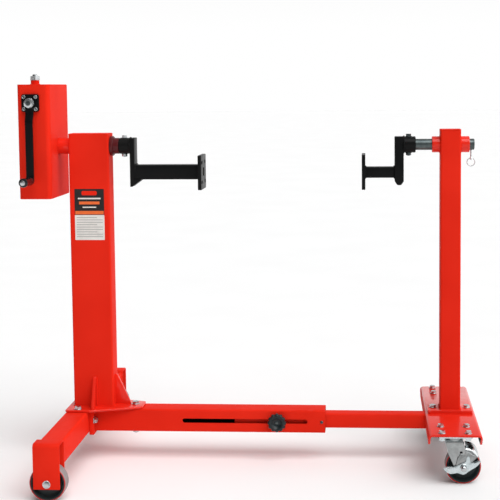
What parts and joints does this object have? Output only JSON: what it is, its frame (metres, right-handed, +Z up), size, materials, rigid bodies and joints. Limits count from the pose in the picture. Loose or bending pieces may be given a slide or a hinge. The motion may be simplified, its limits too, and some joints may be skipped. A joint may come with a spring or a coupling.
{
  "type": "engine stand",
  "caption": "Wheeled engine stand: telescoping floor beam with a post at each end, hand crank and worm gear case turning one adaptor arm, free idler arm opposite.",
  "frame": {"origin": "on the floor, under the middle of the stand's overall box", "axes": "+Z up, +X along the floor beam from the gear case to the idler post, -Y towards the crank handle"},
  "size_m": [1.564, 1.0356, 1.361],
  "materials": {
    "red_paint": "glossy powder coat",
    "black_paint": "semi-gloss black paint",
    "zinc_plate": "bright zinc plate",
    "dark_steel": "oiled turned steel",
    "bronze": "machined bronze",
    "wheel_core": "black painted casting",
    "wheel_tread": "polyurethane with a red edge, dusty running face",
    "black_plastic": "moulded black plastic"
  },
  "bodies": {
    "base": {"left_leg": "red_paint", "front_fork": "red_paint", "rear_fork": "red_paint", "front_axle": "zinc_plate", "rear_axle": "zinc_plate", "outer_beam": "red_paint", "beam_flange": "red_paint", "guide_sleeve": "black_plastic", "post_foot": "red_paint", "beam_bolt": "zinc_plate", "leg_bolt_front": "zinc_plate", "leg_bolt_rear": "zinc_plate", "left_post": "red_paint", "bearing_tube": "red_paint", "bush_left": "bronze", "bush_right": "bronze", "gear_case": "red_paint", "case_cover": "red_paint", "crank_flange": "black_paint", "worm_bearing": "red_paint", "bearing_cap": "zinc_plate", "worm_footstep": "dark_steel"},
    "front_wheel": {"front_wheel_core": "wheel_core", "front_wheel_tread": "wheel_tread"},
    "rear_wheel": {"rear_wheel_core": "wheel_core", "rear_wheel_tread": "wheel_tread"},
    "slider": {"inner_tube": "red_paint", "right_channel": "red_paint", "foot_plate": "red_paint", "foot_bolt_inner": "zinc_plate", "foot_bolt_outer": "zinc_plate", "right_post": "red_paint", "idler_sleeve": "red_paint", "front_caster_plate": "zinc_plate", "rear_caster_plate": "zinc_plate"},
    "knob": {"clamp_knob": "black_plastic"},
    "front_caster": {"front_caster_yoke": "zinc_plate", "front_caster_axle": "zinc_plate"},
    "rear_caster": {"rear_caster_yoke": "zinc_plate", "rear_caster_axle": "zinc_plate"},
    "front_caster_wheel": {"front_caster_core": "wheel_core", "front_caster_tread": "wheel_tread"},
    "rear_caster_wheel": {"rear_caster_core": "wheel_core", "rear_caster_tread": "wheel_tread"},
    "front_brake": {"front_brake_lever": "zinc_plate"},
    "rear_brake": {"rear_brake_lever": "zinc_plate"},
    "head": {"main_shaft": "dark_steel", "worm_wheel": "bronze", "left_adaptor": "black_paint"},
    "worm": {"worm_shaft": "dark_steel", "worm_mitre": "dark_steel"},
    "crank": {"crank_shaft": "zinc_plate", "crank_mitre": "dark_steel", "crank_arm": "black_paint"},
    "grip": {"crank_grip": "black_plastic"},
    "idler": {"idler_shaft": "dark_steel", "right_adaptor": "black_paint"},
    "pin": {"retaining_pin": "zinc_plate"},
    "ring": {"pull_ring": "zinc_plate"}
  },
  "joints": [
    {"name": "front_wheel_roll", "type": "hinge", "parent": "base", "child": "front_wheel", "pos_m": [-0.61, -0.4785, 0.059], "axis": [0, 1, 0], "continuous": true},
    {"name": "rear_wheel_roll", "type": "hinge", "parent": "base", "child": "rear_wheel", "pos_m": [-0.61, 0.4785, 0.059], "axis": [0, 1, 0], "continuous": true},
    {"name": "beam_slide", "type": "slide", "parent": "base", "child": "slider", "axis": [1, 0, 0], "range_m": [-0.325, 0.096]},
    {"name": "knob_turn", "type": "hinge", "parent": "slider", "child": "knob", "pos_m": [0.091, -0.075, 0.142], "axis": [0, -1, 0], "range_deg": [0, 360]},
    {"name": "front_caster_swivel", "type": "hinge", "parent": "slider", "child": "front_caster", "pos_m": [0.694, -0.265, 0.15], "axis": [0, 0, 1], "continuous": true},
    {"name": "rear_caster_swivel", "type": "hinge", "parent": "slider", "child": "rear_caster", "pos_m": [0.694, 0.235, 0.15], "axis": [0, 0, 1], "continuous": true},
    {"name": "front_caster_roll", "type": "hinge", "parent": "front_caster", "child": "front_caster_wheel", "pos_m": [0.722, -0.265, 0.059], "axis": [0, 1, 0], "continuous": true},
    {"name": "rear_caster_roll", "type": "hinge", "parent": "rear_caster", "child": "rear_caster_wheel", "pos_m": [0.722, 0.235, 0.059], "axis": [0, 1, 0], "continuous": true},
    {"name": "front_brake_press", "type": "hinge", "parent": "front_caster", "child": "front_brake", "pos_m": [0.722, -0.265, 0.059], "axis": [0, 1, 0], "range_deg": [0, 14]},
    {"name": "rear_brake_press", "type": "hinge", "parent": "rear_caster", "child": "rear_brake", "pos_m": [0.722, 0.235, 0.059], "axis": [0, 1, 0], "range_deg": [0, 14]},
    {"name": "head_turn", "type": "hinge", "parent": "base", "child": "head", "pos_m": [-0.455, -0.035, 1.11], "axis": [1, 0, 0], "continuous": true},
    {"name": "worm_spin", "type": "hinge", "parent": "base", "child": "worm", "pos_m": [-0.733, -0.097, 1.11], "axis": [0, 0, 1], "continuous": true},
    {"name": "crank_spin", "type": "hinge", "parent": "base", "child": "crank", "pos_m": [-0.733, -0.175, 1.263], "axis": [0, 1, 0], "continuous": true},
    {"name": "grip_spin", "type": "hinge", "parent": "crank", "child": "grip", "pos_m": [-0.733, -0.235, 0.999], "axis": [0, 1, 0], "continuous": true},
    {"name": "idler_turn", "type": "hinge", "parent": "slider", "child": "idler", "pos_m": [0.694, -0.035, 1.11], "axis": [1, 0, 0], "continuous": true},
    {"name": "pin_pull", "type": "slide", "parent": "idler", "child": "pin", "axis": [0, 0, -1], "range_m": [0, 0.042]},
    {"name": "ring_swing", "type": "hinge", "parent": "pin", "child": "ring", "pos_m": [0.765, -0.035, 1.0615], "axis": [1, 0, 0], "range_deg": [-80, 80]}
  ],
  "couplings": [
    {"joint": "worm_spin", "follows": "head_turn", "ratio": 36},
    {"joint": "crank_spin", "follows": "head_turn", "ratio": -36}
  ]
}
